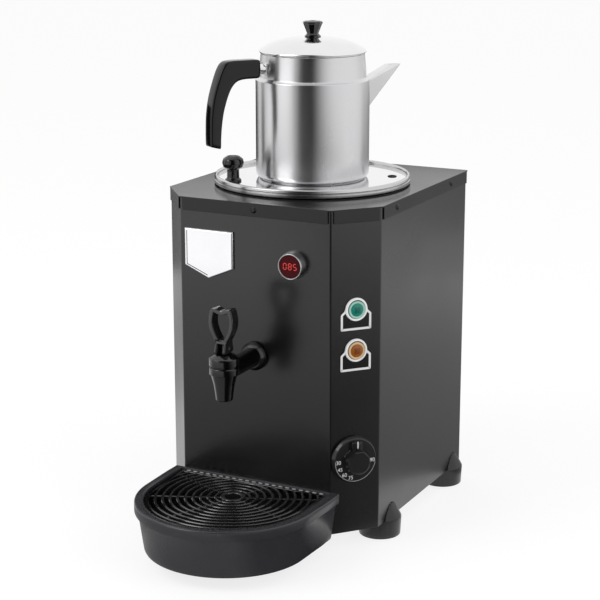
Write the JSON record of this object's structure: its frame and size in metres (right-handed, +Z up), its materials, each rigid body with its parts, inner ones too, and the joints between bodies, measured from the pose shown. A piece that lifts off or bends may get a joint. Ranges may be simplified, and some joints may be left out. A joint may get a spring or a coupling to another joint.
{
  "type": "hot water urn",
  "caption": "Counter-top hot water urn with a round tank in a chamfered sheet-metal casing, lever tap, thermostat, signal lamps, drip tray and a teapot keeping warm on the lid.",
  "frame": {"origin": "bottom centre of the whole object's bounding box, on the counter", "axes": "+Z up; the tap and the drip tray point to -Y; +X to the right as seen from the front"},
  "size_m": [0.2626, 0.448, 0.5307],
  "materials": {
    "casing_paint": "satin dark grey powder coat",
    "cover_paint": "semi-gloss grey lacquer",
    "galvanised": "dull zinc-coated sheet",
    "tank_steel": "satin stainless steel",
    "polished_steel": "fine brushed, nearly mirror-bright stainless steel",
    "mirror_steel": "polished stainless steel",
    "black_plastic": "moulded glossy black phenolic plastic",
    "tray_plastic": "satin dark grey moulded plastic",
    "black_rubber": "matt black rubber",
    "screw_black": "blackened steel screws",
    "screw_steel": "bright zinc-plated steel",
    "insulation": "glass wool felt",
    "heater_tube": "dull incoloy tube",
    "brass_parts": "machined brass",
    "copper_tube": "drawn copper",
    "ceramic": "cream ceramic and nylon",
    "bezel_chrome": "bright chrome",
    "display_red": "dark red filter over red digits",
    "green_glass": "green translucent lens",
    "amber_glass": "amber translucent lens",
    "badge_silver": "satin silver plate with a bevelled edge"
  },
  "bodies": {
    "root": {"casing_wrap": "casing_paint", "rear_panel": "casing_paint", "top_cover": "cover_paint", "base_plate": "galvanised", "foot_front_left": "tray_plastic", "foot_front_right": "tray_plastic", "foot_rear_left": "tray_plastic", "foot_rear_right": "tray_plastic", "foot_screws": "screw_steel", "cover_screws": "screw_black", "rear_screws": "screw_black", "tank": "tank_steel", "tank_stand": "galvanised", "tank_collar": "black_plastic", "insulation_jacket": "insulation", "heating_element": "heater_tube", "heater_flange": "brass_parts", "heater_gasket": "black_rubber", "limit_thermostat": "ceramic", "thermostat_body": "ceramic", "thermostat_bulb": "copper_tube", "thermometer_bezel": "bezel_chrome", "thermometer_display": "display_red", "thermometer_nut": "black_plastic", "green_lamp_bezel": "bezel_chrome", "green_lamp_lens": "green_glass", "green_lamp_plate": "black_plastic", "amber_lamp_bezel": "bezel_chrome", "amber_lamp_lens": "amber_glass", "amber_lamp_plate": "black_plastic", "lamp_nuts": "screw_steel", "badge_plate": "badge_silver", "tap_body": "black_plastic", "tap_collar": "black_plastic", "tap_washer": "black_rubber", "tap_backnut": "black_plastic", "tap_bonnet": "black_plastic", "terminal_block": "ceramic", "cable_gland": "black_plastic", "gland_nut": "black_plastic"},
    "stem": {"tap_stem": "black_plastic", "tap_seat": "black_rubber", "tap_spring": "screw_steel", "lever_pin": "screw_steel"},
    "lever": {"tap_lever": "black_plastic"},
    "knob": {"thermostat_knob": "black_plastic", "thermostat_shaft": "screw_steel"},
    "lid": {"lid_plate": "mirror_steel", "lid_rim": "polished_steel", "lid_knob": "black_plastic", "lid_knob_screw": "screw_steel"},
    "tray": {"drip_tray": "tray_plastic"},
    "grille": {"drip_grille": "black_plastic"},
    "pot": {"pot_body": "polished_steel", "pot_spout": "polished_steel", "pot_bracket": "polished_steel", "pot_handle": "black_plastic", "pot_handle_screw": "screw_steel"},
    "pot_cover": {"pot_lid": "polished_steel", "pot_lid_knob": "black_plastic"}
  },
  "joints": [
    {"name": "stem_lift", "type": "slide", "parent": "root", "child": "stem", "axis": [0, 0, 1], "range_m": [0, 0.00349], "stiffness_N_per_m": 600, "deforming": ["tap_spring"]},
    {"name": "lever_tilt", "type": "hinge", "parent": "stem", "child": "lever", "pos_m": [0, -0.134, 0.2262], "axis": [1, 0, 0], "range_deg": [0, 50]},
    {"name": "thermostat_turn", "type": "hinge", "parent": "root", "child": "knob", "pos_m": [0.10213, -0.04959, 0.1], "axis": [-0.7593, 0.6508, 0], "range_deg": [0, 270]},
    {"name": "lid_lift", "type": "slide", "parent": "root", "child": "lid", "axis": [0, 0, 1], "range_m": [0, 0.12]},
    {"name": "pot_lift", "type": "slide", "parent": "lid", "child": "pot", "axis": [0, 0, 1], "range_m": [0, 0.12]},
    {"name": "pot_cover_lift", "type": "slide", "parent": "pot", "child": "pot_cover", "axis": [0, 0, 1], "range_m": [0, 0.05]},
    {"name": "tray_pull", "type": "slide", "parent": "root", "child": "tray", "axis": [0, -1, 0], "range_m": [0, 0.06]},
    {"name": "grille_lift", "type": "slide", "parent": "tray", "child": "grille", "axis": [0, 0, 1], "range_m": [0, 0.04]}
  ],
  "couplings": [
    {"joint": "lever_tilt", "follows": "stem_lift", "rad_per_m": 250}
  ]
}
